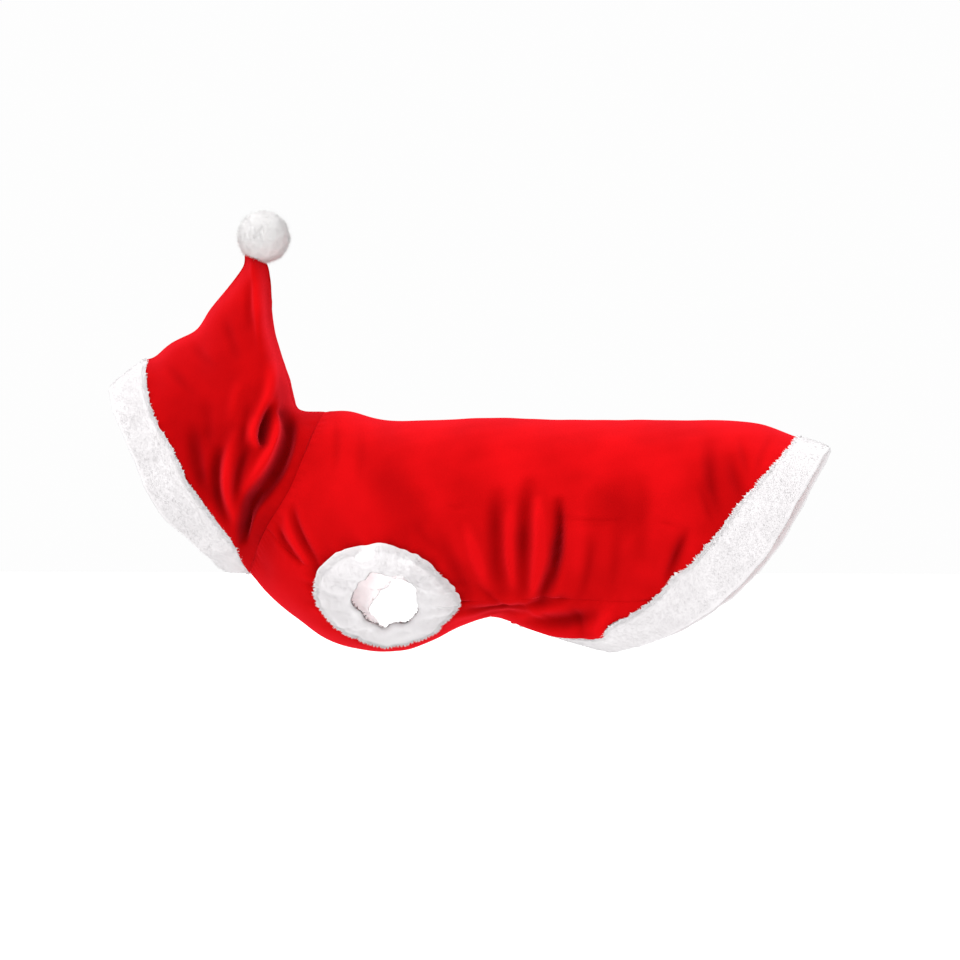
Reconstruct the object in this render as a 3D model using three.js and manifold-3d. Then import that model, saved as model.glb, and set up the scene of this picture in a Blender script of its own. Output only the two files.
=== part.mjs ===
// A hooded Santa coat for a dog, in the hollow form it keeps when worn. Units are millimetres.
// The dog faces -X, its left side is -Y, and +Z is up. The origin is inside the coat's back at the withers.
//
// Two velvet panels make the body tube: a back piece over the spine, and a belly piece under it from the
// neck to the belly. They meet at the side seams, which run through the two leg holes. Two hood panels
// meet along the crown and the back of the head, and end in a peak with a pompom. Folded plush bands
// edge the face opening and the hem, and a gathered plush cuff fills each leg hole.

import * as THREE from "three";
import { mergeVertices } from "three/addons/utils/BufferGeometryUtils.js";
import Module from "manifold-3d";

const wasm = await Module();
wasm.setup();

const VELVET = 2.2; // wall of the knitted velvet
const PLUSH = 9; // a folded plush band, with its pile
const SEAM_GAP = 0.3; // between two pieces at a seam
const BAND_GAP = 0.5; // from a seam's middle to a band, whose thick edge twists along the seam
const SIDES = [
  { name: "left", sign: -1 },
  { name: "right", sign: 1 },
];

const COLOURS = { velvet: 0xc80d12, plush: 0xf1efee };

// Named columns for the short tables below: a row becomes an object with those names.
const named = (columns, rows) =>
  rows.map((row) => Object.fromEntries(columns.map((name, i) => [name, row[i]])));

// The body's sections, from the neck seam to the hem, and last the hem band's outer edge. Each is one
// slanted ring: where it crosses the spine, flank, side seam, flap (the sagging edge of the belly) and
// keel (the middle of the belly). Y is the half width there. shoulder is how far the ring has risen from
// the flank to the spine at 0.71 of the flank's half width: 0.71 on an ellipse, more on a boxy ring.
const SECTIONS = named(
  [
    "spineX", "spineZ", "shoulder", "flankX", "flankY", "flankZ", "seamX", "seamY", "seamZ",
    "flapX", "flapY", "flapZ", "keelX", "keelZ",
  ],
  [
    [-31, 3, 0.71, -56, 58, -65, -79, 47, -101, -91, 27, -123, -100, -143],
    [-10, 3.5, 0.71, -27, 68, -75, -52, 56, -127, -66, 33, -158, -71, -172],
    [25, -4, 0.71, 14, 80, -87, -7, 66, -153, -16, 40, -192, -20, -205],
    [67, -4, 0.71, 60, 84, -90, 52, 68, -168, 45, 38, -203, 39, -211],
    [118, -2, 0.71, 113, 81, -90, 100, 57, -167, 95, 30, -185, 92, -189],
    [181, -4, 0.71, 167, 79, -90, 143, 54, -165, 125, 30, -177, 112, -181],
    [253, -4, 0.71, 223, 80, -90, 185, 56, -164, 146, 32, -181, 123, -183],
    [321, -4, 0.71, 275, 81, -92, 223, 59, -165, 170, 38, -194, 131, -184],
    [362, -8, 0.71, 305, 80, -96, 249, 61, -166, 194, 42, -200, 138, -185],
    [396, -21, 0.71, 330, 77, -105, 269, 62, -166, 218, 44, -201, 143, -186],
    [425, -31, 0.86, 368, 72, -131, 305, 57, -187, 237, 21, -212, 187, -198],
  ],
);
const HEM = SECTIONS.length - 2; // the station of the seam between velvet and hem band
const SEAM_AT = 3; // the ring's side seams; the spine is at 0 and the keel at KEEL_AT
const KEEL_AT = 5;

// The hood's edges. Each hood panel is a patch with four of them: neck, face, crown and nape.
const FACE_EDGE = named(["x", "y", "z"], [
  [-100, 0, -143], [-105, 25, -129], [-111, 45, -112], [-128, 62, -86], [-147, 67, -60],
  [-160, 66, -31], [-176, 60, -7], [-185, 48, 16], [-191, 27, 39], [-194, 0, 50],
]);
const BRIM_EDGE = named(["x", "y", "z"], [
  [-132, 0, -136], [-138, 25, -127], [-148, 42, -116], [-171, 56, -94], [-188, 60, -67],
  [-200, 59, -38], [-214, 53, -8], [-222, 42, 12], [-227, 23, 21], [-228, 0, 24],
]);
const CROWN_EDGE = named(["x", "z"], [
  [-194, 50], [-184, 53], [-170, 64], [-148, 76], [-134, 96], [-118, 115], [-105, 133],
  [-101, 143], [-92, 145],
]);
const NAPE_EDGE = named(["x", "z"], [
  [-31, 3], [-57, 6], [-67, 31], [-74, 52], [-81, 79], [-81, 104], [-82, 122], [-85, 135],
  [-92, 145],
]);

// Fullness of a hood panel: how far it stands out in y round a place on the patch. up is 0 at the neck
// and 1 at the crown, back is 0 at the face and 1 at the nape.
const HOOD_FULLNESS = named(["up", "back", "upSpread", "backSpread", "out"], [
  [0.45, 0.86, 0.28, 0.13, 15],
  [0.3, 0.55, 0.22, 0.3, 5],
  [0.85, 0.8, 0.2, 0.25, 4],
]);

// Folds, as seen from the side: each follows a bent line from one end to the other. width is the fold's
// half width at each end, and depth is how far it stands out, or in where negative.
const FOLD_COLUMNS = [
  "fromX", "fromZ", "bendX", "bendZ", "toX", "toZ", "fromWidth", "toWidth", "depth",
];
const BODY_FOLDS = named(FOLD_COLUMNS, [
  [-56, -84, -49, -108, -26, -139, 5, 5, -3.5],
  [-74, -91, -63, -113, -52, -131, 4, 4, -1.6],
  [84, -112, 94, -137, 104, -161, 8, 7, -4],
  [106, -100, 114, -124, 120, -150, 7, 7, 4],
  [133, -55, 126, -106, 136, -158, 9, 7, -6.5],
  [160, -38, 149, -104, 155, -161, 9, 7, -6],
  [168, -62, 170, -110, 162, -156, 7, 7, 4],
  [188, -66, 191, -126, 168, -166, 7, 7, -8],
  [206, -80, 208, -120, 196, -156, 8, 8, 3],
  [319, -22, 320, -58, 328, -92, 8, 6, -3.5],
  [339, -40, 345, -58, 350, -75, 6, 6, -2],
  [302, -86, 290, -114, 286, -150, 9, 7, -5],
  [100, -173, 141, -179, 190, -163, 5, 5, -4.5],
  [158, -184, 186, -186, 214, -178, 7, 7, -6],
  [230, -172, 226, -186, 218, -197, 7, 7, 3],
]);
const HOOD_FOLDS = named(FOLD_COLUMNS, [
  [-56, 2, -48, -52, -106, -118, 13, 6, -16],
  [-80, 8, -88, -9, -82, -26, 7, 6, -8],
  [-70, 6, -72, -38, -103, -82, 7, 7, 6],
  [-142, -14, -137, -54, -117, -100, 9, 7, -6],
  [-108, -16, -112, -42, -122, -76, 7, 6, -5],
  [-98, -30, -104, -60, -114, -86, 7, 6, 3],
  [-87, 132, -90, 88, -70, 38, 7, 8, 4],
  [-72, 44, -66, 14, -92, -26, 9, 8, 8],
]);
// The right side's folds are like the left's, but each lies a little further on and is a little weaker or
// stronger. These two walk through the table's rows.
const FAR_SHIFT = (row) => 5 * Math.sin(2.1 * row + 0.7);
const FAR_STRENGTH = (row) => 0.85 + 0.2 * Math.sin(1.3 * row);

// The cuff: an egg-shaped seam on the chest that turns down and out, and a round mouth gathered in
// front of it.
const CUFF = {
  x: 32, y: 57, z: -160, // middle of the seam
  tilt: THREE.MathUtils.degToRad(32), // how far it faces down
  roll: THREE.MathUtils.degToRad(-7), // its narrow end is lower
  halfLength: 65, halfHeight: 50.5,
  narrowing: 0.16, // of the egg's rear end
  mouthLength: 29, mouthHeight: 29,
  mouthRaise: 7, mouthOut: 10,
  gathers: 11, gatherDepth: 1.6,
  steps: 33,
};
// The cuff's cross-section: across is 0 at its seam and 1 at its mouth, out is its height off the chest.
const CUFF_PROFILE = named(["across", "out"], [
  [0, 2.6], [0.12, 8], [0.34, 13], [0.6, 15.5], [0.85, 15], [0.98, 12], [1, 8.5], [0.95, 6],
  [0.8, 6.5], [0.55, 7], [0.3, 4.5], [0.12, 0.5], [0, -3],
]);

const POMPOM = { x: -86, z: 161, radius: 23.5, locks: 64, rootRadius: 4, tipRadius: 1.8, bareCosine: 0.74 };

// The stations of the body's grid: wide steps at both ends, and close ones across the gathers at the waist.
const STATIONS = [
  { to: 4.2, steps: 10 },
  { to: 6.2, steps: 20 },
  { to: HEM, steps: 7 },
].reduce(
  (list, part) => {
    const from = list[list.length - 1];
    for (let k = 1; k <= part.steps; k++) list.push(from + ((part.to - from) * k) / part.steps);
    return list;
  },
  [0],
);

// The two panels of the body tube: the places round it where each begins and ends.
const BACK_PANEL = { from: -SEAM_AT, to: SEAM_AT, columns: 28 };
const BELLY_PANEL = { from: SEAM_AT, to: 2 * KEEL_AT - SEAM_AT, columns: 16 };

// The share of the way from neck to crown at each row of a hood panel's grid: closer near the neck, where
// the hood's slack falls in its deepest fold.
const HOOD_ROWS = 22;
const HOOD_COLUMNS = 20;
const hoodUp = (i) => (i / HOOD_ROWS) ** 1.25;

// Catmull-Rom value through numbers before, a, b and after, at t from a to b.
const smooth = (before, a, b, after, t) =>
  a + 0.5 * t * (b - before + t * (2 * before - 5 * a + 4 * b - after + t * (3 * (a - b) + after - before)));

// Value of a named column at a place along a table's rows, smooth through every row.
function column(rows, name, at) {
  const last = rows.length - 1;
  const i = Math.min(Math.max(Math.floor(at), 0), last - 1);
  const value = (k) => {
    if (k < 0) return 2 * rows[0][name] - rows[1][name];
    if (k > last) return 2 * rows[last][name] - rows[last - 1][name];
    return rows[k][name];
  };
  return smooth(value(i - 1), value(i), value(i + 1), value(i + 2), at - i);
}

// Point along an edge table, with share from 0 to 1 and y on the given side.
function edgePoint(rows, share, sign) {
  const at = share * (rows.length - 1);
  const y = "y" in rows[0] ? column(rows, "y", at) : 0;
  return new THREE.Vector3(column(rows, "x", at), sign * y, column(rows, "z", at));
}

// The six places of a ring at one station: spine, shoulder, flank, side seam, flap and keel.
function ringPlaces(station) {
  const at = (name) => column(SECTIONS, name, station);
  return [
    [at("spineX"), 0, at("spineZ")],
    [
      at("flankX") + at("shoulder") * (at("spineX") - at("flankX")),
      Math.SQRT1_2 * at("flankY"),
      at("flankZ") + at("shoulder") * (at("spineZ") - at("flankZ")),
    ],
    [at("flankX"), at("flankY"), at("flankZ")],
    [at("seamX"), at("seamY"), at("seamZ")],
    [at("flapX"), at("flapY"), at("flapZ")],
    [at("keelX"), 0, at("keelZ")],
  ];
}

// Point of the smooth body tube. round is 0 at the spine and 5 at the keel, negative on the left side.
function tubePoint(station, round) {
  const places = ringPlaces(station);
  const place = (k) => {
    const folded = ((k % (2 * KEEL_AT)) + 2 * KEEL_AT) % (2 * KEEL_AT);
    const [x, y, z] = places[folded > KEEL_AT ? 2 * KEEL_AT - folded : folded];
    return [x, folded > KEEL_AT ? -y : y, z];
  };
  const i = Math.floor(round);
  const near = [i - 1, i, i + 1, i + 2].map(place);
  return new THREE.Vector3(
    ...[0, 1, 2].map((c) => smooth(near[0][c], near[1][c], near[2][c], near[3][c], round - i)),
  );
}

// Point of a smooth hood panel: a Coons patch on its four edges, with the fullness added in y.
function hoodPoint(up, back, sign) {
  const neck = tubePoint(0, sign * KEEL_AT * (1 - back));
  const crown = edgePoint(CROWN_EDGE, back, sign);
  const face = edgePoint(FACE_EDGE, up, sign);
  const nape = edgePoint(NAPE_EDGE, up, sign);
  const throat = edgePoint(FACE_EDGE, 0, sign);
  const forehead = edgePoint(FACE_EDGE, 1, sign);
  const neckTop = edgePoint(NAPE_EDGE, 0, sign);
  const tip = edgePoint(NAPE_EDGE, 1, sign);
  const point = new THREE.Vector3();
  const add = (vector, share) => point.addScaledVector(vector, share);
  add(neck, 1 - up);
  add(crown, up);
  add(face, 1 - back);
  add(nape, back);
  add(throat, -(1 - up) * (1 - back));
  add(neckTop, -(1 - up) * back);
  add(forehead, -up * (1 - back));
  add(tip, -up * back);
  const inside = Math.min(1, 6 * up, 6 * (1 - up), 6 * back, 9 * (1 - back));
  for (const full of HOOD_FULLNESS) {
    const away = ((up - full.up) / full.upSpread) ** 2 + ((back - full.back) / full.backSpread) ** 2;
    point.y += sign * full.out * Math.exp(-away) * inside;
  }
  return point;
}

// Signed depth of all folds of a table at a place seen from the side.
function foldDepth(folds, x, z, sign) {
  const steps = 8;
  let sum = 0;
  folds.forEach((fold, row) => {
    const shift = sign > 0 ? FAR_SHIFT(row) : 0;
    const strength = sign > 0 ? FAR_STRENGTH(row) : 1;
    const line = (t) => [
      (1 - t) ** 2 * fold.fromX + 2 * t * (1 - t) * fold.bendX + t ** 2 * fold.toX + shift,
      (1 - t) ** 2 * fold.fromZ + 2 * t * (1 - t) * fold.bendZ + t ** 2 * fold.toZ,
    ];
    let nearest = Infinity;
    let along = 0;
    for (let i = 0; i < steps; i++) {
      const [ax, az] = line(i / steps);
      const [bx, bz] = line((i + 1) / steps);
      const length2 = (bx - ax) ** 2 + (bz - az) ** 2;
      const t = THREE.MathUtils.clamp(((x - ax) * (bx - ax) + (z - az) * (bz - az)) / length2, 0, 1);
      const distance = Math.hypot(x - ax - t * (bx - ax), z - az - t * (bz - az));
      if (distance < nearest) {
        nearest = distance;
        along = (i + t) / steps;
      }
    }
    const width = fold.fromWidth + along * (fold.toWidth - fold.fromWidth);
    const fade = Math.sin(Math.PI * Math.min(1, Math.max(0, 0.06 + 0.88 * along))) ** 0.7;
    sum += strength * fold.depth * fade * Math.exp(-((nearest / width) ** 2));
  });
  return sum;
}

// Unit normal of a surface function of two numbers.
function normalOf(surface, a, b) {
  const step = 1e-3;
  const alongA = surface(a + step, b).sub(surface(a - step, b));
  const alongB = surface(a, b + step).sub(surface(a, b - step));
  return alongA.cross(alongB).normalize();
}

const tubeNormal = (station, round) => normalOf(tubePoint, station, round);

// Outer point of the body with its folds, which fade out towards the spine, the keel and both ends.
function bodyPoint(station, round) {
  const point = tubePoint(station, round);
  const sign = round < 0 || round > KEEL_AT ? -1 : 1;
  const ends = Math.min(1, 2 * station, 3 * (HEM - station) + 0.35);
  const middle = Math.min(1, 1.6 * Math.abs(round), 1.6 * Math.abs(KEEL_AT - Math.abs(round)));
  const depth = foldDepth(BODY_FOLDS, point.x, point.z, sign) * Math.max(0, ends) * middle;
  return point.addScaledVector(tubeNormal(station, round), depth);
}

// Outer point and normal of a hood panel with its folds. At the neck seam the normal is the body's, so that
// the two walls meet face to face.
function hoodFrame(up, back, sign) {
  const surface = (a, b) => hoodPoint(a, b, sign);
  const inset = (share) => THREE.MathUtils.clamp(share, 0.02, 0.98);
  const normal = normalOf(surface, inset(up), inset(back)).multiplyScalar(sign);
  const atNeck = 1 - THREE.MathUtils.smoothstep(up, 0, 0.3);
  normal.lerp(tubeNormal(0, sign * KEEL_AT * (1 - back)), atNeck).normalize();
  const point = surface(up, back);
  const edges = Math.min(1, 7 * up, 7 * (1 - up), 7 * back, 10 * (1 - back));
  point.addScaledVector(normal, foldDepth(HOOD_FOLDS, point.x, point.z, sign) * edges);
  return { point, normal };
}

// A closed solid from indexed points.
function solid(points, triangles) {
  const geometry = new THREE.BufferGeometry();
  geometry.setAttribute("position", new THREE.Float32BufferAttribute(points.flatMap((p) => p.toArray()), 3));
  geometry.setIndex(triangles);
  return faceOut(geometry);
}

// Turns a closed geometry's faces out, if its volume says that they point in.
function faceOut(geometry) {
  const position = geometry.getAttribute("position");
  const index = geometry.index.array;
  const corner = [0, 1, 2].map(() => new THREE.Vector3());
  let volume = 0;
  for (let i = 0; i < index.length; i += 3) {
    corner.forEach((c, k) => c.fromBufferAttribute(position, index[i + k]));
    volume += corner[0].dot(corner[1].clone().cross(corner[2]));
  }
  if (volume < 0) {
    const turned = Array.from(index);
    for (let i = 0; i < turned.length; i += 3) {
      [turned[i + 1], turned[i + 2]] = [turned[i + 2], turned[i + 1]];
    }
    geometry.setIndex(turned);
  }
  return geometry;
}

// A wall of cloth: an outer grid of points, the same grid moved in by the wall, and the rim between them.
// grid(i, j) gives { outer, inner } for i up to rows and j up to columns.
function wallSolid(rows, columns, grid) {
  const outer = [];
  const inner = [];
  for (let i = 0; i <= rows; i++) {
    for (let j = 0; j <= columns; j++) {
      const at = grid(i, j);
      outer.push(at.outer);
      inner.push(at.inner);
    }
  }
  const id = (i, j) => i * (columns + 1) + j;
  const under = outer.length;
  const triangles = [];
  const quad = (a, b, c, d) => triangles.push(a, b, c, a, c, d);
  for (let i = 0; i < rows; i++) {
    for (let j = 0; j < columns; j++) {
      const [a, b, c, d] = [id(i, j), id(i + 1, j), id(i + 1, j + 1), id(i, j + 1)];
      quad(a, b, c, d);
      quad(under + a, under + d, under + c, under + b);
    }
  }
  for (let i = 0; i < rows; i++) {
    quad(id(i, 0), under + id(i, 0), under + id(i + 1, 0), id(i + 1, 0));
    quad(id(i + 1, columns), under + id(i + 1, columns), under + id(i, columns), id(i, columns));
  }
  for (let j = 0; j < columns; j++) {
    quad(id(0, j + 1), under + id(0, j + 1), under + id(0, j), id(0, j));
    quad(id(rows, j), under + id(rows, j), under + id(rows, j + 1), id(rows, j + 1));
  }
  return solid([...outer, ...inner], triangles);
}

// A closed ring with a closed cross-section. section(i) gives that step's points, always as many.
function ringSolid(steps, section) {
  const loops = Array.from({ length: steps }, (_, i) => section(i));
  const count = loops[0].length;
  const triangles = [];
  for (let i = 0; i < steps; i++) {
    for (let k = 0; k < count; k++) {
      const [a, b] = [i * count + k, i * count + ((k + 1) % count)];
      const [c, d] = [((i + 1) % steps) * count + ((k + 1) % count), ((i + 1) % steps) * count + k];
      triangles.push(a, b, c, a, c, d);
    }
  }
  return solid(loops.flat(), triangles);
}

// A panel of the body tube, with half the seam gap left along each edge.
function bodyPanel({ from, to, columns }) {
  return wallSolid(STATIONS.length - 1, columns, (i, j) => {
    const step = 1e-3;
    const station = STATIONS[i];
    const round = from + ((to - from) * j) / columns;
    const outer = bodyPoint(station, round);
    const away = (direction) => outer.addScaledVector(direction.normalize(), SEAM_GAP / 2);
    const across = tubePoint(station, round + step).sub(tubePoint(station, round - step));
    const along = tubePoint(station + step, round).sub(tubePoint(station - step, round));
    if (j === 0) away(across);
    if (j === columns) away(across.negate());
    if (i === 0) away(along);
    if (i === STATIONS.length - 1) away(along.negate());
    return { outer, inner: outer.clone().addScaledVector(tubeNormal(station, round), -VELVET) };
  });
}

// One hood panel. Both its faces stay on its own side of the middle, where it meets the other panel.
function hoodPanel(sign) {
  return wallSolid(HOOD_ROWS, HOOD_COLUMNS, (i, j) => {
    const up = hoodUp(i);
    const back = j / HOOD_COLUMNS;
    const { point: outer, normal } = hoodFrame(up, back, sign);
    const towards = (a, b) => hoodPoint(a, b, sign).sub(hoodPoint(up, back, sign)).setLength(SEAM_GAP / 2);
    if (i === 0) outer.add(towards(0.02, back));
    if (j === 0) outer.add(towards(up, 0.02));
    const inner = outer.clone().addScaledVector(normal, -VELVET);
    const least = Math.min(sign * outer.y, sign * inner.y) - SEAM_GAP / 2;
    if (least < 0) {
      outer.y -= sign * least;
      inner.y -= sign * least;
    }
    return { outer, inner };
  });
}

// A folded plush band, swept round a closed edge. Each stop gives the place on the seam, the place on the
// band's free edge, and the wall's normal at the seam.
function plushBand(stops) {
  const sectionPoints = 10;
  const squareness = 0.5;
  const power = (value) => Math.sign(value) * Math.abs(value) ** squareness;
  return ringSolid(stops.length, (i) => {
    const { seam, edge, normal } = stops[i];
    const width = edge.clone().sub(seam);
    const before = stops[(i + stops.length - 1) % stops.length];
    const after = stops[(i + 1) % stops.length];
    const tangent = after.edge.clone().add(after.seam).sub(before.edge).sub(before.seam);
    const square = tangent.cross(width).normalize();
    if (square.dot(normal) < 0) square.negate();
    const from = seam.clone().addScaledVector(width.clone().normalize(), BAND_GAP);
    return Array.from({ length: sectionPoints }, (_, k) => {
      const turn = (2 * Math.PI * (k + 0.5)) / sectionPoints;
      const across = 0.5 - 0.5 * power(Math.cos(turn));
      const up = normal.clone().lerp(square, Math.min(1, 2 * across)).normalize();
      const out = (PLUSH / 2) * power(Math.sin(turn)) - VELVET / 2;
      return from.clone().addScaledVector(width, across).addScaledVector(up, out);
    });
  });
}

// The band round the face has its stops at the rows of the hood's grid, down one side and up the other.
function faceBand() {
  const stops = [];
  for (let i = 0; i < 2 * HOOD_ROWS; i++) {
    const sign = i < HOOD_ROWS ? -1 : 1;
    const up = hoodUp(i < HOOD_ROWS ? i : 2 * HOOD_ROWS - i);
    stops.push({
      seam: edgePoint(FACE_EDGE, up, sign),
      edge: edgePoint(BRIM_EDGE, up, sign),
      normal: hoodFrame(up, 0, sign).normal,
    });
  }
  return plushBand(stops);
}

// The band round the hem has its stops at the columns of both body panels.
function hemBand() {
  const stops = [BACK_PANEL, BELLY_PANEL].flatMap(({ from, to, columns }) =>
    Array.from({ length: columns }, (_, j) => {
      const round = from + ((to - from) * j) / columns;
      return {
        seam: tubePoint(HEM, round),
        edge: tubePoint(HEM + 1, round),
        normal: tubeNormal(HEM, round),
      };
    }),
  );
  return plushBand(stops);
}

// The cuff's own axes on one side: along the coat, up the seam, and out of the mouth.
function cuffAxes(sign) {
  const along = new THREE.Vector3(Math.cos(CUFF.roll), 0, Math.sin(CUFF.roll));
  const out = new THREE.Vector3(0, sign * Math.cos(CUFF.tilt), -Math.sin(CUFF.tilt));
  const up = new THREE.Vector3(0, sign * Math.sin(CUFF.tilt), Math.cos(CUFF.tilt));
  along.addScaledVector(out, -along.dot(out)).normalize();
  up.addScaledVector(along, -up.dot(along)).normalize();
  return { along, up, out, centre: new THREE.Vector3(CUFF.x, sign * CUFF.y, CUFF.z) };
}

// The egg-shaped seam at a turn round it, as distances along and up from its centre.
function cuffSeam(turn, grow = 0) {
  const taper = 1 - CUFF.narrowing * Math.cos(turn);
  return {
    along: (CUFF.halfLength + grow) * Math.cos(turn),
    up: (CUFF.halfHeight * taper + grow) * Math.sin(turn),
  };
}

// The point of the chest that lies straight behind a place of the cuff's plane, found by Newton steps.
function chestPoint(axes, place, sign) {
  let station = 2.6;
  let round = sign * SEAM_AT;
  const step = 1e-3;
  const miss = (a, b) => {
    const from = tubePoint(a, b).sub(axes.centre);
    return [from.dot(axes.along) - place.along, from.dot(axes.up) - place.up];
  };
  for (let i = 0; i < 12; i++) {
    const [m, n] = miss(station, round);
    const byStation = miss(station + step, round).map((v, k) => (v - [m, n][k]) / step);
    const byRound = miss(station, round + step).map((v, k) => (v - [m, n][k]) / step);
    const det = byStation[0] * byRound[1] - byRound[0] * byStation[1];
    station -= THREE.MathUtils.clamp((m * byRound[1] - n * byRound[0]) / det, -0.5, 0.5);
    round -= THREE.MathUtils.clamp((byStation[0] * n - byStation[1] * m) / det, -0.5, 0.5);
  }
  return tubePoint(station, round);
}

// The gathered cuff: its profile swept from the seam on the chest to the mouth, and puckered round the
// mouth.
function cuffSolid(sign) {
  const axes = cuffAxes(sign);
  return ringSolid(CUFF.steps, (i) => {
    const turn = (2 * Math.PI * i) / CUFF.steps;
    const seam = chestPoint(axes, cuffSeam(turn), sign);
    const mouth = axes.centre
      .clone()
      .addScaledVector(axes.along, CUFF.mouthLength * Math.cos(turn))
      .addScaledVector(axes.up, CUFF.mouthHeight * Math.sin(turn) + CUFF.mouthRaise)
      .addScaledVector(axes.out, CUFF.mouthOut);
    const pucker = CUFF.gatherDepth * Math.sin(CUFF.gathers * turn + 1.5 * Math.sin(2 * turn));
    return CUFF_PROFILE.map(({ across, out }) =>
      seam
        .clone()
        .lerp(mouth, across)
        .addScaledVector(axes.out, out + pucker * Math.sin(Math.PI * Math.min(1, across + 0.15))),
    );
  });
}

// The leg hole's cutter: the cuff's seam outline, grown by the seam gap and extruded through the wall.
function legHole(sign) {
  const axes = cuffAxes(sign);
  const reach = 45;
  const outline = new THREE.Shape(
    Array.from({ length: CUFF.steps }, (_, i) => {
      const { along, up } = cuffSeam((2 * Math.PI * i) / CUFF.steps, SEAM_GAP + 0.1);
      return new THREE.Vector2(along, up);
    }),
  );
  const geometry = new THREE.ExtrudeGeometry(outline, { depth: 2 * reach, bevelEnabled: false });
  geometry.translate(0, 0, -reach);
  const place = new THREE.Matrix4().makeBasis(axes.along, axes.up, axes.out).setPosition(axes.centre);
  return geometry.applyMatrix4(place);
}

function toManifold(geometry) {
  const bare = geometry.clone();
  bare.deleteAttribute("normal");
  bare.deleteAttribute("uv");
  const merged = faceOut(mergeVertices(bare, 1e-4));
  return new wasm.Manifold(
    new wasm.Mesh({
      numProp: 3,
      vertProperties: new Float32Array(merged.getAttribute("position").array),
      triVerts: new Uint32Array(merged.index.array),
    }),
  );
}

function fromManifold(manifold) {
  const mesh = manifold.getMesh();
  const geometry = new THREE.BufferGeometry();
  geometry.setAttribute("position", new THREE.BufferAttribute(mesh.vertProperties, 3));
  geometry.setIndex(new THREE.BufferAttribute(mesh.triVerts, 1));
  return geometry;
}

// Cuts both leg holes through a panel.
function cutLegHoles(panel) {
  const cut = SIDES.reduce(
    (left, { sign }) => left.subtract(toManifold(legHole(sign))),
    toManifold(panel),
  );
  return fromManifold(cut);
}

// The pompom: a round core that just clears the hood's tip, and three-sided locks that stand out of it all
// round but where it is sewn on. They are spread by the golden angle.
function pompomSolid(tip) {
  const centre = new THREE.Vector3(POMPOM.x, 0, POMPOM.z);
  const nearest = Math.min(...tip.map((point) => point.distanceTo(centre)));
  const core = new THREE.IcosahedronGeometry(nearest - SEAM_GAP, 2).translate(...centre.toArray());
  const sewnTo = tip[0].clone().sub(centre).normalize();
  const golden = Math.PI * (3 - Math.sqrt(5));
  let ball = toManifold(core);
  for (let i = 0; i < POMPOM.locks; i++) {
    const height = 1 - (2 * (i + 0.5)) / POMPOM.locks;
    const ring = Math.sqrt(1 - height ** 2);
    const out = new THREE.Vector3(ring * Math.cos(golden * i), ring * Math.sin(golden * i), height);
    if (out.dot(sewnTo) > POMPOM.bareCosine) continue;
    const rootAt = nearest - 3;
    const length = POMPOM.radius - rootAt - 1.2 * (i % 3);
    const lock = new THREE.CylinderGeometry(POMPOM.tipRadius, POMPOM.rootRadius, length, 3, 1);
    lock.translate(0, rootAt + length / 2, 0);
    lock.applyQuaternion(new THREE.Quaternion().setFromUnitVectors(new THREE.Vector3(0, 1, 0), out));
    lock.translate(...centre.toArray());
    ball = ball.add(toManifold(lock));
  }
  return fromManifold(ball);
}

const coat = new THREE.Group();
const velvet = new THREE.MeshStandardMaterial({ color: COLOURS.velvet, roughness: 0.75, metalness: 0 });
const plush = new THREE.MeshStandardMaterial({ color: COLOURS.plush, roughness: 1, metalness: 0 });

function addPiece(name, geometry, material) {
  geometry.computeVertexNormals();
  const mesh = new THREE.Mesh(geometry, material.clone());
  mesh.name = name;
  coat.add(mesh);
}

addPiece("back_panel", cutLegHoles(bodyPanel(BACK_PANEL)), velvet);
addPiece("belly_panel", cutLegHoles(bodyPanel(BELLY_PANEL)), velvet);
for (const { name, sign } of SIDES) addPiece(`hood_${name}`, hoodPanel(sign), velvet);
addPiece("face_band", faceBand(), plush);
addPiece("hem_band", hemBand(), plush);
for (const { name, sign } of SIDES) addPiece(`cuff_${name}`, cuffSolid(sign), plush);

// Points round the hood's tip, which the pompom is sewn to.
const hoodTip = [];
coat.traverse((piece) => {
  if (!piece.isMesh || !piece.name.startsWith("hood_")) return;
  const position = piece.geometry.getAttribute("position");
  for (let i = 0; i < position.count; i++) {
    const point = new THREE.Vector3().fromBufferAttribute(position, i);
    if (point.z > NAPE_EDGE.at(-2).z) hoodTip.push(point);
  }
});
hoodTip.sort((a, b) => b.z - a.z);
addPiece("pompom", pompomSolid(hoodTip), plush);

export default coat;
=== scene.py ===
"""The look of a hooded Santa coat for a dog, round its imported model.

The coat is two velvet body panels, two velvet hood panels, folded plush bands at the face and the hem,
a gathered plush cuff in each leg hole, and a pompom. Every surface is a function of two numbers on a
grid, worked out with numpy from the short tables below. Tables are in millimetres: X runs along the coat
to the hem, -Y is the dog's left side and +Z is up.
"""

import math

import bpy
import numpy as np
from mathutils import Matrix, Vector


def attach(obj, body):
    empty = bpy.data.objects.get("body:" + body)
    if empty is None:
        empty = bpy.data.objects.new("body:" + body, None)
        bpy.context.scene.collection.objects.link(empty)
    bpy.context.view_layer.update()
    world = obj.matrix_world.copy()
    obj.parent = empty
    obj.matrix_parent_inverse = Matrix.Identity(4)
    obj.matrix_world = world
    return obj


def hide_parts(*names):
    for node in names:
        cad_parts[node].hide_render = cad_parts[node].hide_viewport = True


MM = 0.001
# Thickness of the velvet, of a folded plush band with its pile and of the plush's backing, length of the
# pile, and how far the plush's backing lies under its outline.
VELVET = 2.2
PLUSH = 9
BACKING = 0.9
PILE = 1.1
PILE_INSET = 1.3
# Turns of the side seam and the keel, and the step by which slopes are taken.
SEAM_AT = 3
KEEL_AT = 5
STEP = 1e-3
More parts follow.
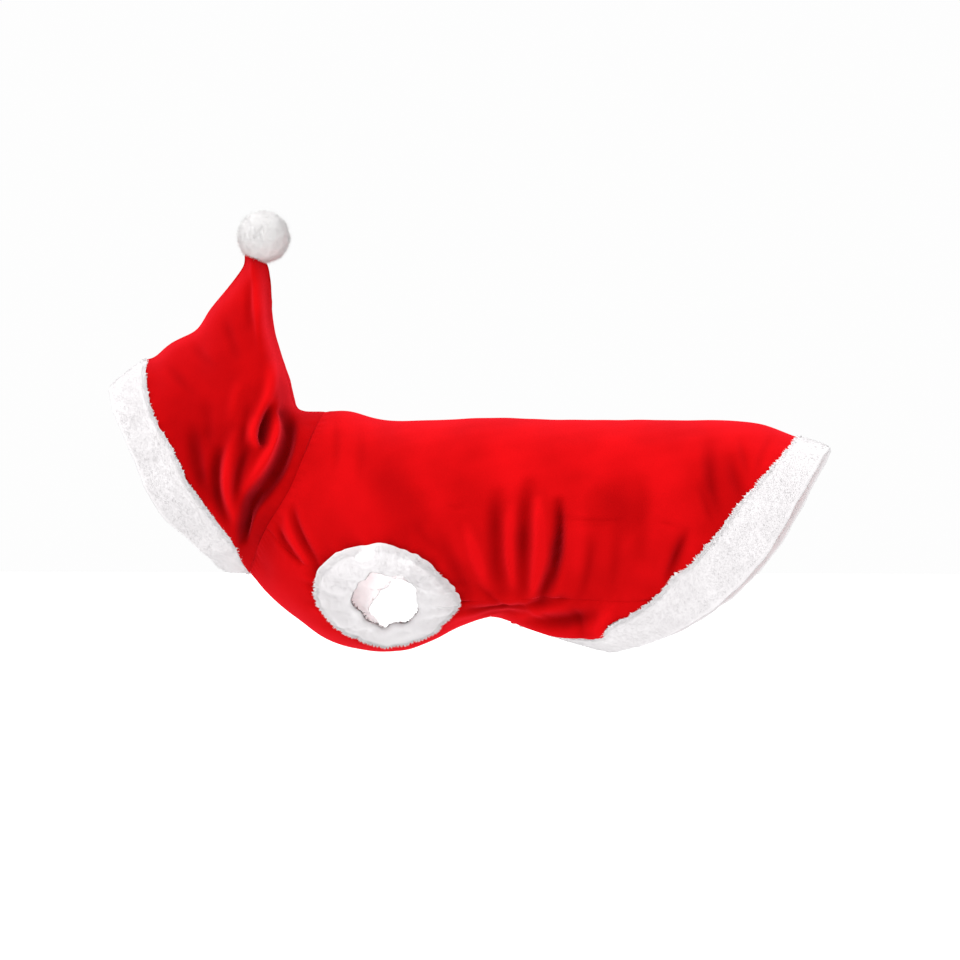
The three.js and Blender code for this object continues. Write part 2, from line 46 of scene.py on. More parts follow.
# About how long the body and a turn of it, the hood up and back, a band and a cuff across, and how far the
# cuff's seam is from its middle.
BODY_LENGTH = 430
TURN_LENGTH = 69
HOOD_HEIGHT = 215
HOOD_LENGTH = 190
BAND_WIDTH = 47
CUFF_REACH = 40
EGG_RADIUS = 58
# How far the leg hole's edge is outside the cuff's seam.
HOLE_MARGIN = 0.4

# The body's rings, from the neck seam to the hem, and last the hem band's outer edge: x and z at the
# spine, rise of the shoulder, then x, y, z at flank, side seam and flap, and x, z at the keel.
SECTIONS = np.array([
    [-31, 3, 0.71, -56, 58, -65, -79, 47, -101, -91, 27, -123, -100, -143],
    [-10, 2.8, 0.71, -27, 68, -75, -52, 56, -127, -66, 33, -158, -71, -172],
    [25, -4.8, 0.71, 14, 80, -87, -7, 66, -153, -16, 40, -193, -20, -206],
    [67, -4.8, 0.71, 60, 84, -90, 52, 68, -168, 45, 38, -204, 39, -212],
    [118, -2, 0.71, 113, 81, -90, 100, 57, -167, 95, 30, -185, 92, -189],
    [181, -4, 0.71, 167, 79, -90, 143, 54, -165, 125, 30, -179, 112, -182],
    [253, -4.8, 0.71, 223, 80, -90, 185, 56, -164, 146, 32, -179, 123, -182],
    [321, -4.8, 0.71, 275, 81, -92, 223, 59, -165, 170, 38, -188.5, 131, -183],
    [362, -8, 0.71, 305, 80, -96, 249, 61, -166, 194, 42, -198, 138, -185],
    [396, -21, 0.71, 330, 77, -105, 269, 62, -166, 218, 44, -200, 143, -186],
    [425, -31, 0.86, 368, 72, -131, 305, 57, -187, 237, 21, -212, 187, -198],
])
HEM = len(SECTIONS) - 2

# The hood's edges: x, y, z.
FACE_EDGE = np.array([
    [-100, 0, -143], [-105, 25, -129], [-111, 45, -112], [-128, 62, -86], [-147, 67, -60],
    [-160, 66, -31], [-176, 60, -7], [-185, 48, 16], [-191, 27, 39], [-194, 0, 50],
])
BRIM_EDGE = np.array([
    [-132, 0, -136], [-138, 25, -127], [-148, 42, -116], [-171, 56, -94], [-188, 60, -67],
    [-200, 59, -38], [-214, 53, -8], [-222, 42, 12], [-227, 23, 21], [-228, 0, 24],
])
CROWN_EDGE = np.array([
    [-194, 0, 50], [-185, 0, 53.6], [-171, 0, 65], [-149, 0, 77], [-135, 0, 97], [-119, 0, 116],
    [-106, 0, 134], [-104, 0, 148], [-94, 0, 144],
])
NAPE_EDGE = np.array([
    [-31, 0, 3], [-57, 0, 6], [-65, 0, 31], [-71.5, 0, 52], [-78.5, 0, 79], [-79.5, 0, 104],
    [-81, 0, 122], [-85, 0, 137], [-94, 0, 144],
])
# How far a hood panel stands out in y round a place on it: up, back, the spread of each, and out.
HOOD_FULLNESS = [[0.45, 0.86, 0.28, 0.13, 15], [0.3, 0.55, 0.22, 0.3, 5], [0.85, 0.8, 0.2, 0.25, 4]]

# Folds as seen from the side. Each follows a bent line: x and z of its start, its bend and its end, half
# width at both ends, and how far it stands out, or in where negative.
BODY_FOLDS = [
    [-54, -82, -50, -108, -28, -138, 4, 4.5, -5],
    [-70, -93, -66, -112, -47, -132, 3.5, 3.5, -3.5],
    [-62, -84, -60, -104, -40, -130, 3.5, 3.5, 2.5],
    [84, -112, 94, -137, 104, -161, 8, 7, -2.5],
    [106, -100, 112, -124, 120, -150, 5, 6, 3.5],
    [133, -72, 127, -112, 134, -156, 8, 7, -4.5],
    [146, -84, 143, -114, 145, -150, 5, 5, 2.5],
    [160, -62, 153, -112, 154, -161, 7, 7, -5],
    [169, -78, 173, -118, 162, -158, 5.5, 5.5, 4.5],
    [187, -78, 191, -128, 167, -166, 5, 6.5, -9],
    [206, -80, 208, -120, 196, -156, 8, 8, 1.5],
    [214, -64, 244, -84, 262, -100, 26, 26, -2.4],
    [20, -46, 44, -74, 66, -104, 22, 20, -2.2],
    [319, -26, 320, -56, 327, -84, 7, 6, -2.6],
    [339, -40, 345, -58, 350, -75, 6, 6, -1.8],
    [299, -104, 292, -122, 284, -144, 7, 6, -3.2],
    [100, -173, 141, -179, 190, -163, 5, 5, -4.5],
    [158, -184, 186, -186, 214, -178, 7, 7, -6],
    [230, -172, 226, -186, 218, -197, 7, 7, 3],
]
HOOD_FOLDS = [
    [-61, 2, -50, -36, -84, -72, 6, 10, -15],
    [-80, -66, -96, -82, -100, -112, 8, 5, -13],
    [-66, -4, -69, -34, -92, -66, 5, 6, 7],
    [-74, 6, -79, -12, -79, -28, 4.5, 5, -12],
    [-74, 44, -72, 14, -87, -8, 5, 5, 4.5],
    [-86, -8, -92, -22, -80, -30, 5, 4.5, 5],
    [-87, 132, -92, 88, -66, 36, 6, 6, 4],
    [-104, -20, -116, -58, -108, -90, 6, 6, 5],
    [-92, -30, -103, -54, -104, -80, 5, 5, -4],
    [-118, -34, -126, -58, -112, -92, 6, 6, -6],
    [-142, -14, -140, -48, -126, -84, 8, 7, -4],
]
# Small creases, in the same columns.
BODY_CREASES = [
    [186, -90, 214, -95, 243, -93, 2.2, 2.2, -0.9],
    [192, -95, 212, -99, 232, -97, 2, 2, -0.5],
    [276, -94, 286, -97, 296, -99, 2, 2, -0.8],
    [88, -81, 95, -83, 103, -82, 2, 2, -0.7],
    [300, -104, 290, -124, 282, -146, 3.5, 3, -1.8],
    [312, -62, 318, -84, 324, -96, 4, 3, -1.4],
    [112, -151, 126, -164, 138, -176, 3, 3, -1.6],
    [104, -176, 120, -178, 136, -174, 3, 2.5, -1.8],
    [-34, -128, -30, -146, -22, -160, 3, 3, -1.2],
    [-66, -84, -60, -96, -52, -112, 3, 3, -1],
    [-20, 0, -12, -22, -14, -46, 5, 4, -1.2],
    [4, -6, 12, -30, 8, -60, 6, 5, -0.9],
    [140, -90, 138, -124, 146, -152, 3, 3, 1.4],
    [176, -120, 180, -142, 176, -160, 3, 3, 1.4],
    [216, -110, 214, -136, 206, -158, 5, 4, -1.6],
    [240, -100, 238, -128, 232, -154, 6, 5, -1.3],
    [262, -60, 264, -96, 258, -130, 8, 7, -1.2],
    [60, -96, 68, -112, 80, -120, 6, 5, -1],
    [346, -24, 352, -40, 354, -56, 4, 4, -1.2],
    [372, -20, 366, -36, 362, -52, 4, 4, -0.9],
    [196, -172, 206, -186, 204, -196, 4, 4, -1.6],
    [150, -166, 160, -176, 172, -184, 3, 3, 1.2],
]
HOOD_CREASES = [
    [-118, 84, -112, 70, -104, 52, 5, 5, -1.6],
    [-96, 118, -98, 100, -94, 78, 4, 4, -1.5],
    [-150, 66, -140, 54, -126, 44, 5, 5, -1.2],
    [-170, 44, -158, 34, -146, 20, 5, 5, -1.1],
    [-132, 12, -128, -8, -128, -26, 6, 5, -1.4],
    [-92, 10, -96, -12, -98, -30, 4, 4, -1.8],
    [-64, 26, -62, 8, -66, -14, 4, 4, -1.6],
    [-120, -66, -118, -84, -112, -100, 4, 4, -1.4],
    [-134, -60, -130, -78, -122, -94, 3.5, 3.5, 1.2],
    [-96, -96, -100, -110, -106, -122, 3.5, 3, -1.6],
    [-84, -70, -90, -86, -98, -100, 4, 4, -1.4],
    [-100, 30, -106, 14, -108, -6, 6, 5, 1.4],
]

# The cuff: an egg-shaped seam on the chest and a round mouth in front of it.
CUFF = {
    "centre": (32, 57, -158.6), "tilt": math.radians(32), "roll": math.radians(-6.5),
    "half_length": 64.5, "half_height": 46.8, "point": 0.42, "uneven": 0.32,
    "mouth": 29, "mouth_raise": 5.6, "far_sag": 13, "mouth_out": 10,
    "gathers": 11, "gather_depth": 1.6,
}
# The cuff's section: across from the seam to the mouth, and out from the chest.
CUFF_PROFILE = np.array([
    [0, 2.6], [0.12, 8], [0.34, 13], [0.6, 15.5], [0.85, 15], [0.98, 12], [1, 8.5], [0.95, 6],
    [0.8, 6.5], [0.55, 7], [0.3, 4.5], [0.12, 0.5], [0, -3],
])
# Furrows of the gathered cuff: turn in degrees, how it bends, from and to across, half width and depth.
CUFF_FURROWS = [
    [92, 4, 0.12, 0.8, 4, -2.4], [66, -8, 0.3, 1, 5, -2.8], [38, 8, 0.2, 0.85, 7, -3.6],
    [12, -5, 0.35, 1, 5, -2.4], [-24, 8, 0.3, 1, 5, -2], [-56, -6, 0.35, 1, 6, -2.2],
    [-90, 5, 0.4, 1, 5, -1.8], [-121, -7, 0.45, 1, 5, -1.8], [-158, 6, 0.4, 1, 5, -2.2],
    [170, -6, 0.3, 1, 5, -2.6], [143, 6, 0.35, 1, 5, -2.2], [118, -5, 0.2, 0.95, 4, -2.6],
]

# The pompom, the way from it to the hood's tip with the dimple there and the reach of that, and its
# partings: x and z over the radius, slope and half length.
POMPOM = {
    "centre": (-87.5, 0, 160.5), "radius": 25.2, "core": 21.7, "tip": (-0.36, 0, -0.93),
    "dimple": 2.2, "reach": 0.07,
    "partings": [[-0.02, 0.25, 0.35, 0.28], [-0.16, 0.02, 0.8, 0.2], [0.02, 0, -0.3, 0.2]],
}
FIBRES = {"hem": 38000, "face": 32000, "cuff": 19000, "pompom": 11000}

# How far the bands reach over the velvet.
HEM_REACH = 2.2
FACE_REACH = 0.6
# How far the hem band reaches over the velvet round a place: turn, more than elsewhere, and spread.
HEM_COVER = [[3.6, 8.5, 0.26], [1.6, 2.5, 0.25], [2.6, 1.5, 0.1]]
# The colour of the plush's darker patches.
PATCH = (0.79, 0.765, 0.775)
# The plush scatters light, so its shading is flatter than its form: its normals' y counts this much
# more, on the bands and cuffs and on the pompom.
EVEN = np.array([1, 2.2, 1])
POMPOM_EVEN = np.array([1, 1.3, 1])
# Painted shade on the hood: how much further out the hood's velvet has to stand than the body's for the same
# painted fold shade, so the whole hood is painted darker.
HOOD_PAINTED_SHADE = 1.6


# Curves and surfaces

def smooth(before, a, b, after, t):
    """Catmull-Rom: a + t/2 (b - before + t (2 before - 5 a + 4 b - after + t bend)), with
    bend = 3 (a - b) + after - before."""
    bend = 3 * (a - b) + after - before
    return a + 0.5 * t * (b - before + t * (2 * before - 5 * a + 4 * b - after + t * bend))


def along_rows(rows, at):
    """A table's row at a place along it: Catmull-Rom through the rows, each end carried on straight."""
    padded = np.vstack([2 * rows[0] - rows[1], rows, 2 * rows[-1] - rows[-2]])
    i = np.clip(np.floor(at).astype(int), 0, len(rows) - 2)
    return smooth(*(padded[i + k] for k in range(4)), (at - i)[..., None])


def ramp(value):
    """0 up to 0, 1 from 1 on, and 3 t t - 2 t t t between."""
    t = np.clip(value, 0, 1)
    return t * t * (3 - 2 * t)


def unit(vectors):
    """Each vector divided by its length."""
    return vectors / np.maximum(np.linalg.norm(vectors, axis=-1, keepdims=True), 1e-9)


def tube_point(station, turn):
    """Catmull-Rom round the ten places of the ring at that station, whose right half mirrors in y = 0."""
    row = along_rows(SECTIONS.astype(float), station)
    spine_x, spine_z, rise, flank_x, flank_y, flank_z = np.moveaxis(row[..., :6], -1, 0)
    nothing = np.zeros_like(spine_x)
    ring = np.stack([
        np.stack([spine_x, nothing, spine_z], -1),
        np.stack([
            flank_x + rise * (spine_x - flank_x),
            math.sqrt(0.5) * flank_y,
            flank_z + rise * (spine_z - flank_z),
        ], -1),
        np.stack([flank_x, flank_y, flank_z], -1),
        row[..., 6:9],
        row[..., 9:12],
        np.stack([row[..., 12], nothing, row[..., 13]], -1),
    ], -2)
    i = np.floor(turn).astype(int)
    near = []
    for k in (-1, 0, 1, 2):
        place = np.mod(i + k, 2 * KEEL_AT)
        mirrored = place > KEEL_AT
        place = np.where(mirrored, 2 * KEEL_AT - place, place)
        point = np.take_along_axis(ring, place[..., None, None], axis=-2)[..., 0, :].copy()
        point[..., 1] *= np.where(mirrored, -1, 1)
        near.append(point)
    return smooth(*near, (turn - i)[..., None])


def normal_of(surface, a, b):
    """Unit cross product of the surface's two slopes."""
    along_a = surface(a + STEP, b) - surface(a - STEP, b)
    along_b = surface(a, b + STEP) - surface(a, b - STEP)
    return unit(np.cross(along_a, along_b))


def tube_normal(station, turn):
    """Unit normal of the tube, outwards."""
    return normal_of(tube_point, station, turn)


def edge_point(rows, share, sign):
    """Place along an edge table, with y on the given side."""
    return along_rows(rows.astype(float), share * (len(rows) - 1)) * np.array([1, sign, 1])


def hood_point(up, back, sign):
    """Coons patch of neck, crown, face and nape, with gaussians of fullness added in y."""
    u, b = up[..., None], back[..., None]
    point = (1 - u) * tube_point(0 * up, sign * KEEL_AT * (1 - back)) + u * edge_point(CROWN_EDGE, back, sign)
    point += (1 - b) * edge_point(FACE_EDGE, up, sign) + b * edge_point(NAPE_EDGE, up, sign)
    point -= (1 - u) * (1 - b) * FACE_EDGE[0] + (1 - u) * b * NAPE_EDGE[0]
    point -= u * (1 - b) * FACE_EDGE[-1] + u * b * NAPE_EDGE[-1]
    inside = ramp(6 * up) * ramp(6 * (1 - up)) * ramp(6 * back) * ramp(9 * (1 - back))
    for full_up, full_back, up_spread, back_spread, out in HOOD_FULLNESS:
        away = ((up - full_up) / up_spread) ** 2 + ((back - full_back) / back_spread) ** 2
        point[..., 1] += sign * out * np.exp(-away) * inside
    return point


def fold_depth(folds, x, z, far):
    """Sum of depth exp(-q) (1 - 0.7 q) over the folds, with q the squared distance over the squared width.

    The right side's folds lie a little further on, and are a little weaker or stronger.
    """
    total = np.zeros_like(x)
    steps = 10
    for row, (ax, az, bx, bz, cx, cz, from_width, to_width, depth) in enumerate(folds):
        t = np.linspace(0, 1, steps + 1)
        line_x = (1 - t) ** 2 * ax + 2 * t * (1 - t) * bx + t * t * cx
        line_z = (1 - t) ** 2 * az + 2 * t * (1 - t) * bz + t * t * cz
        at_x = x - np.where(far, 5 * math.sin(2.1 * row + 0.7), 0)
        nearest = np.full_like(x, 1e9)
        along = np.zeros_like(x)
        for i in range(steps):
            run_x, run_z = line_x[i + 1] - line_x[i], line_z[i + 1] - line_z[i]
            share = ((at_x - line_x[i]) * run_x + (z - line_z[i]) * run_z) / (run_x**2 + run_z**2)
            share = np.clip(share, 0, 1)
            distance = np.hypot(at_x - line_x[i] - share * run_x, z - line_z[i] - share * run_z)
            closer = distance < nearest
            nearest = np.where(closer, distance, nearest)
            along = np.where(closer, (i + share) / steps, along)
        width = 1.15 * (from_width + along * (to_width - from_width))
        fade = np.sin(np.pi * np.clip(0.06 + 0.88 * along, 0, 1)) ** 0.7
        strength = depth * np.where(far, 0.85 + 0.2 * math.sin(1.3 * row), 1)
        q = (nearest / width) ** 2
        total += strength * fade * np.exp(-q) * (1 - 0.7 * q)
    return total


def ripple(points, wavelength, seed):
    """Sum of seven sines of place in random directions, of about unit size."""
    rng = np.random.default_rng(seed)
    total = np.zeros(points.shape[:-1])
    for _ in range(7):
        direction = unit(rng.normal(size=3)) * 2 * np.pi / (wavelength * rng.uniform(0.7, 1.4))
        total += np.sin(points @ direction + rng.uniform(0, 2 * np.pi))
    return total / 2.6


def groove(distance, along):
    """A sewn seam: a narrow dip, and puckers along it that fade away from it."""
    dip = (-0.45 - 0.25 * np.sin(along / 13)) * np.exp(-((distance / 2.2) ** 2))
    pucker = np.sin(along / 1.7 + 2 * np.sin(along / 9)) + 0.6 * np.sin(along / 4.1)
    return dip + 0.34 * pucker * np.exp(-((distance / 7) ** 2)) * (1 - np.exp(-((distance / 2.2) ** 2)))


# The cuff's place on the chest

def cuff_axes(sign):
    """Unit vectors along the coat, up the seam and out of the mouth, and the seam's middle."""
    along = np.array([math.cos(CUFF["roll"]), 0, math.sin(CUFF["roll"])])
    out = np.array([0, sign * math.cos(CUFF["tilt"]), -math.sin(CUFF["tilt"])])
    up = np.array([0, sign * math.sin(CUFF["tilt"]), math.cos(CUFF["tilt"])])
    along = unit(along - along @ out * out)
    up = unit(up - up @ along * along)
    return along, up, out, np.array(CUFF["centre"]) * [1, sign, 1]


def pinch(turn):
    """How the egg narrows to its ends: |sin t| to the power p + u cos t, sharper at the back end."""
    return np.maximum(np.abs(np.sin(turn)), 1e-3) ** (CUFF["point"] + CUFF["uneven"] * np.cos(turn))


def egg(turn, grow=0.0):
    """The seam: (L cos t, H pinch(t) sin t) with L and H grown."""
    high = (CUFF["half_height"] * pinch(turn) + grow) * np.sin(turn)
    return (CUFF["half_length"] + grow) * np.cos(turn), high


def egg_place(points, sign):
    """Turn round the egg and scale, 1 on the seam, of points of the chest, and the scale 9 elsewhere."""
    along, up, out, centre = cuff_axes(sign)
    across, high = (points - centre) @ along, (points - centre) @ up
    turn = np.arctan2(high / CUFF["half_height"], across / CUFF["half_length"])
    for _ in range(14):
        tall = CUFF["half_height"] * pinch(turn)
        turn = 0.5 * (turn + np.arctan2(high / tall, across / CUFF["half_length"]))
    scale = np.hypot(across / CUFF["half_length"], high / tall)
    there = (np.abs((points - centre) @ out) < 45) & (sign * points[..., 1] > 0)
    return turn, np.where(there, scale, 9)


def chest_place(sign, across, high):
    """Station and turn of the chest straight behind a place of the cuff's plane, by Newton steps."""
    along, up, out, centre = cuff_axes(sign)
    station, turn = np.full_like(across, 2.6), np.full_like(across, sign * float(SEAM_AT))

    def miss(a, b):
        offset = tube_point(a, b) - centre
        return np.stack([offset @ along - across, offset @ up - high])

    for _ in range(12):
        m, n = miss(station, turn)
        m_s, n_s = (miss(station + STEP, turn) - [m, n]) / STEP
        m_t, n_t = (miss(station, turn + STEP) - [m, n]) / STEP
        det = m_s * n_t - m_t * n_s
        station = station - np.clip((m * n_t - n * m_t) / det, -0.5, 0.5)
        turn = turn - np.clip((m_s * n - n_s * m) / det, -0.5, 0.5)
    return station, turn


# Cloth

def fold_shade_of(depth):
    """Painted light on the velvet from the fold depth: painted shade darkening the creases, 0, and a painted
    highlight lightening the ridges, 1.
    """
    return np.clip(0.5 + 0.5 * np.tanh((depth + 0.6) / 4.5), 0, 1)


def body_frame(station, turn):
    """Point, normal and painted fold shade of the body (dark in the creases, light on the ridges): the tube
    moved out by its folds, creases, seams and a ripple.
    """
    base = tube_point(station, turn)
    normal = tube_normal(station, turn)
    far = (turn > 0) & (turn < KEEL_AT)
    x, z = base[..., 0], base[..., 2]
    around = np.abs(turn)
    middle = ramp(1.6 * around) * ramp(1.6 * np.abs(KEEL_AT - around))
    ends = ramp(2 * station) * ramp(3 * (HEM - station) + 0.35)
    depth = fold_depth(BODY_FOLDS, x, z, far) * ends * middle
    depth += fold_depth(BODY_CREASES, x, z, far) * ends * middle
    per_station = np.linalg.norm(tube_point(station + STEP, turn) - base, axis=-1) / STEP
    per_turn = np.linalg.norm(tube_point(station, turn + STEP) - base, axis=-1) / STEP
    to_side = np.minimum(np.abs(around - SEAM_AT), np.abs(around - 2 * KEEL_AT + SEAM_AT)) * per_turn
    depth += groove(to_side, x) + groove(station * per_station, 60 * turn)
    depth += 0.7 * groove((HEM - station) * per_station, 70 * turn)
    depth += 0.55 * ripple(base, 85, 1) + 0.16 * ripple(base, 26, 2)
    for sign in (-1, 1):
        at, scale = egg_place(base, sign)
        away = np.abs(scale - 1) * EGG_RADIUS
        gathers = np.sin(15 * at + 2 * np.sin(2 * at)) + 0.5 * np.sin(31 * at)
        puckers = 0.7 * gathers * np.exp(-((away / 11) ** 2))
        depth += (puckers - 1.2 * np.exp(-((away / 5) ** 2))) * (scale < 8)
    return base + normal * depth[..., None], normal, fold_shade_of(depth)


def hood_frame(up, back, sign):
    """Point, normal and painted fold shade of a hood panel (dark in the creases, light on the ridges): the
    patch moved out by folds, creases, seams and a ripple.
    """
    surface = lambda a, b: hood_point(a, b, sign)
    base = surface(up, back)
    normal = sign * normal_of(surface, np.clip(up, 0.02, 0.98), np.clip(back, 0.02, 0.98))
    at_neck = (1 - ramp(up / 0.3))[..., None]
    normal = unit(normal + at_neck * (tube_normal(0 * up, sign * KEEL_AT * (1 - back)) - normal))
    far = np.full(up.shape, sign > 0)
    x, z = base[..., 0], base[..., 2]
    edges = ramp(7 * up) * ramp(7 * (1 - up)) * ramp(7 * back) * ramp(5 * (1 - back))
    depth = (fold_depth(HOOD_FOLDS, x, z, far) + fold_depth(HOOD_CREASES, x, z, far)) * edges
    per_up = np.linalg.norm(surface(up + STEP, back) - base, axis=-1) / STEP
    per_back = np.linalg.norm(surface(up, back + STEP) - base, axis=-1) / STEP
    depth += groove(up * per_up, 300 * back) + groove((1 - up) * per_up, x)
    depth += groove((1 - back) * per_back, z) + 0.7 * groove(back * per_back, z)
    depth += 0.5 * ripple(base, 70, 3) + 0.15 * ripple(base, 24, 4)
    # The hood's velvet is painted darker all over than the body's, as painted shade.
    return base + normal * depth[..., None], normal, fold_shade_of(depth - HOOD_PAINTED_SHADE)


def grid_faces(rows, columns, wrap=False):
    """Quads of a grid of points, each row joined to the next, and the last to the first if it wraps."""
    i, j = np.meshgrid(np.arange(rows if wrap else rows - 1), np.arange(columns - 1), indexing="ij")
    a, b = i * columns + j, (i + 1) % rows * columns + j
    return np.stack([a, b, b + 1, a + 1], -1).reshape(-1, 4)


def shell(outer, inner, quads):
    """Closed wall: the outer quads, the same quads turned round on the inner points, and the rims. Also
    gives the numbers of the grid's points that it uses."""
    used, quads = np.unique(quads, return_inverse=True)
    quads = quads.reshape(-1, 4)
    outer, inner = outer.reshape(-1, 3)[used], inner.reshape(-1, 3)[used]
    count = len(outer)
    sides = np.concatenate([quads[:, [k, (k + 1) % 4]] for k in range(4)])
    lone = sides[~np.isin(sides[:, 0] * count + sides[:, 1], sides[:, 1] * count + sides[:, 0])]
    rim = np.stack([lone[:, 1], lone[:, 0], lone[:, 0] + count, lone[:, 1] + count], -1)
    return np.vstack([outer, inner]), np.vstack([quads, quads[:, ::-1] + count, rim]), used


def faces_out(points, faces):
    """The faces, turned round if the volume that they close is negative."""
    a, b, c = (points[faces[:, k]] for k in range(3))
    volume = np.einsum("ij,ij->i", a, np.cross(b, c)).sum()
    if faces.shape[1] == 4:
        volume += np.einsum("ij,ij->i", a, np.cross(c, points[faces[:, 3]])).sum()
    return faces if volume > 0 else faces[:, ::-1]


def add_piece(name, points, faces, material, node=None, normals=None, fold_shade=None):
    """A mesh of points in millimetres that rides with the coat, and stands for a node if one is given.

    Its edges of 60 degrees and more are sharp, unless normals gives the shading's own directions.
    """
    faces = np.ascontiguousarray(faces_out(points, faces))
    mesh = bpy.data.meshes.new(name)
    mesh.vertices.add(len(points))
    mesh.vertices.foreach_set("co", (points * MM).astype(np.float32).ravel())
    mesh.loops.add(faces.size)
    mesh.loops.foreach_set("vertex_index", faces.astype(np.int32).ravel())
    mesh.polygons.add(len(faces))
    mesh.polygons.foreach_set("loop_start", np.arange(len(faces), dtype=np.int32) * faces.shape[1])
    mesh.polygons.foreach_set("use_smooth", np.ones(len(faces), bool))
    mesh.update(calc_edges=True)
    if normals is None:
        mesh.set_sharp_from_angle(angle=math.radians(60))
    else:
        mesh.normals_split_custom_set_from_vertices(normals.astype(np.float32))
    # Painted light: the fold depth is stored for the velvet's colour, darker in the creases and lighter on
    # the ridges.
    if fold_shade is not None:
        mesh.attributes.new("fold_shade", "FLOAT", "POINT").data.foreach_set("value", fold_shade.astype(np.float32))
    mesh.materials.append(material)
    piece = bpy.data.objects.new(name, mesh)
    bpy.context.scene.collection.objects.link(piece)
    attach(piece, "root")
    if node:
        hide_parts(node)
    return piece


def body_panel(name, first, last, spacing):
    """A body panel from one side seam to the other, with the leg holes cut out on the cuffs' seams."""
    rim = 0.0008
    rows, columns = int(BODY_LENGTH / spacing), int((last - first) * TURN_LENGTH / spacing)
    station, turn = np.meshgrid(
        np.linspace(rim, HEM - rim, rows), np.linspace(first + rim, last - rim, columns), indexing="ij",
    )
    base = tube_point(station, turn)
    quads = grid_faces(rows, columns)
    for sign in (-1, 1):
        at, scale = egg_place(base, sign)
        grown = 1 + HOLE_MARGIN / EGG_RADIUS
        inside = scale.ravel()[quads].mean(1) < grown
        border = np.intersect1d(quads[inside], quads[~inside])
        across, high = egg(at.ravel()[border], HOLE_MARGIN)
        new_station, new_turn = chest_place(sign, across, high)
        new_turn += 2 * KEEL_AT * (np.round((turn.ravel()[border] - new_turn) / (2 * KEEL_AT)))
        station.ravel()[border], turn.ravel()[border] = new_station, new_turn
        quads = quads[~inside]
    outer, normal, fold_shade = body_frame(station, turn)
    points, faces, used = shell(outer, outer - VELVET * normal, quads)
    fold_shade = np.tile(fold_shade.ravel()[used], 2)
    return add_piece(name + "_cloth", points, faces, VELVET_CLOTH, name, fold_shade=fold_shade)


def hood_panel(name, sign, spacing):
    """A hood panel, kept on its own side of the middle, where it meets the other."""
    rows, columns = int(HOOD_HEIGHT / spacing), int(HOOD_LENGTH / spacing)
    up, back = np.meshgrid(
        np.linspace(0.0004, 1, rows) ** 1.15, np.linspace(0.001, 1, columns), indexing="ij",
    )
    outer, normal, fold_shade = hood_frame(up, back, sign)
    inner = outer - VELVET * normal
    least = np.minimum(sign * outer[..., 1], sign * inner[..., 1]) - 0.05
    shift = sign * np.minimum(least, 0)
    outer[..., 1] -= shift
    inner[..., 1] -= shift
    points, faces, used = shell(outer, inner, grid_faces(rows, columns))
    fold_shade = np.tile(fold_shade.ravel()[used], 2)
    return add_piece(name + "_cloth", points, faces, VELVET_CLOTH, name, fold_shade=fold_shade)


# Plush

def grid_normals(points):
    """Unit normals of a grid that wraps in its first direction."""
    down = np.roll(points, -1, 0) - np.roll(points, 1, 0)
    return unit(np.cross(down, np.gradient(points, axis=1)))


def evenly(curve, count):
    """Points of a curve spaced evenly along it."""
    length = np.concatenate([[0], np.cumsum(np.linalg.norm(np.diff(curve, axis=0), axis=1))])
    at = np.linspace(0, length[-1], count)
    return np.stack([np.interp(at, length, curve[:, k]) for k in range(curve.shape[1])], -1)


def roots_on(points, normals, weight, count, rng):
    """Random places on a grid that wraps, as many by area times weight, and their row and column shares."""
    rows, columns = points.shape[:2]
    next_row = np.roll(points, -1, 0)
    corner = points[:, :-1]
    area = np.linalg.norm(np.cross(next_row[:, :-1] - corner, points[:, 1:] - corner), axis=-1)
    share = np.cumsum((area * weight).ravel())
    cell = np.searchsorted(share, rng.random(count) * share[-1])
    i, j = cell // (columns - 1), cell % (columns - 1)
    a, b = rng.random((2, count, 1))
    k = (i + 1) % rows

    def mix(values):
        return (1 - a) * ((1 - b) * values[i, j] + b * values[i, j + 1]) + a * (
            (1 - b) * values[k, j] + b * values[k, j + 1]
        )

    return mix(points), unit(mix(normals)), (i + a[:, 0]) / rows, (j + b[:, 0]) / (columns - 1)


def fibres(name, roots, normals, leans, lengths, widths, material, even=EVEN):
    """Closed fibres of three sides: a small triangle across the lean at each root, and one tip.

    The tips of a neighbourhood are drawn together across their lean, tip + p (middle of its cell - tip),
    where p is 0.04 for the finest fibres and grows with the width, so that the wide ones stand in tufts.
    They are shaded mostly by the evened normal of the cloth that they stand on.
    """
    leans = unit(leans)
    tips = roots + leans * lengths[:, None]
    cell = 3.2
    middle = (np.floor(tips / cell) + 0.5) * cell + np.sin(np.floor(tips / cell) * [12.9, 7.3, 3.7])
    pull = middle - tips
    pull -= np.sum(pull * leans, -1, keepdims=True) * leans
    tips = tips + np.clip(widths - 0.25, 0.04, 0.5)[:, None] * pull
    lean = unit(tips - roots)
    side = unit(np.cross(lean, np.where(np.abs(lean[:, 2:]) < 0.9, [[0, 0, 1]], [[1, 0, 0]])))
    other = np.cross(lean, side)
    spin = (2.4 * np.arange(len(roots)))[:, None] + [0, 2 * np.pi / 3, 4 * np.pi / 3]
    ring = np.cos(spin)[..., None] * side[:, None] + np.sin(spin)[..., None] * other[:, None]
    points = np.concatenate([roots[:, None] + widths[:, None, None] * ring, tips[:, None]], axis=1)
    corners = np.array([[0, 1, 3], [1, 2, 3], [2, 0, 3], [2, 1, 0]])
    faces = (4 * np.arange(len(roots))[:, None, None] + corners).reshape(-1, 3)
    shading = unit(unit(normals * even)[:, None] + 0.1 * np.concatenate([ring, lean[:, None]], axis=1))
    return add_piece(name, points.reshape(-1, 3), faces, material, normals=shading.reshape(-1, 3))


def random_leans(normals, rng, spread):
    """The normal, with a random part and a slight droop."""
    return normals + spread * rng.normal(size=normals.shape) + [0, 0, -0.12]


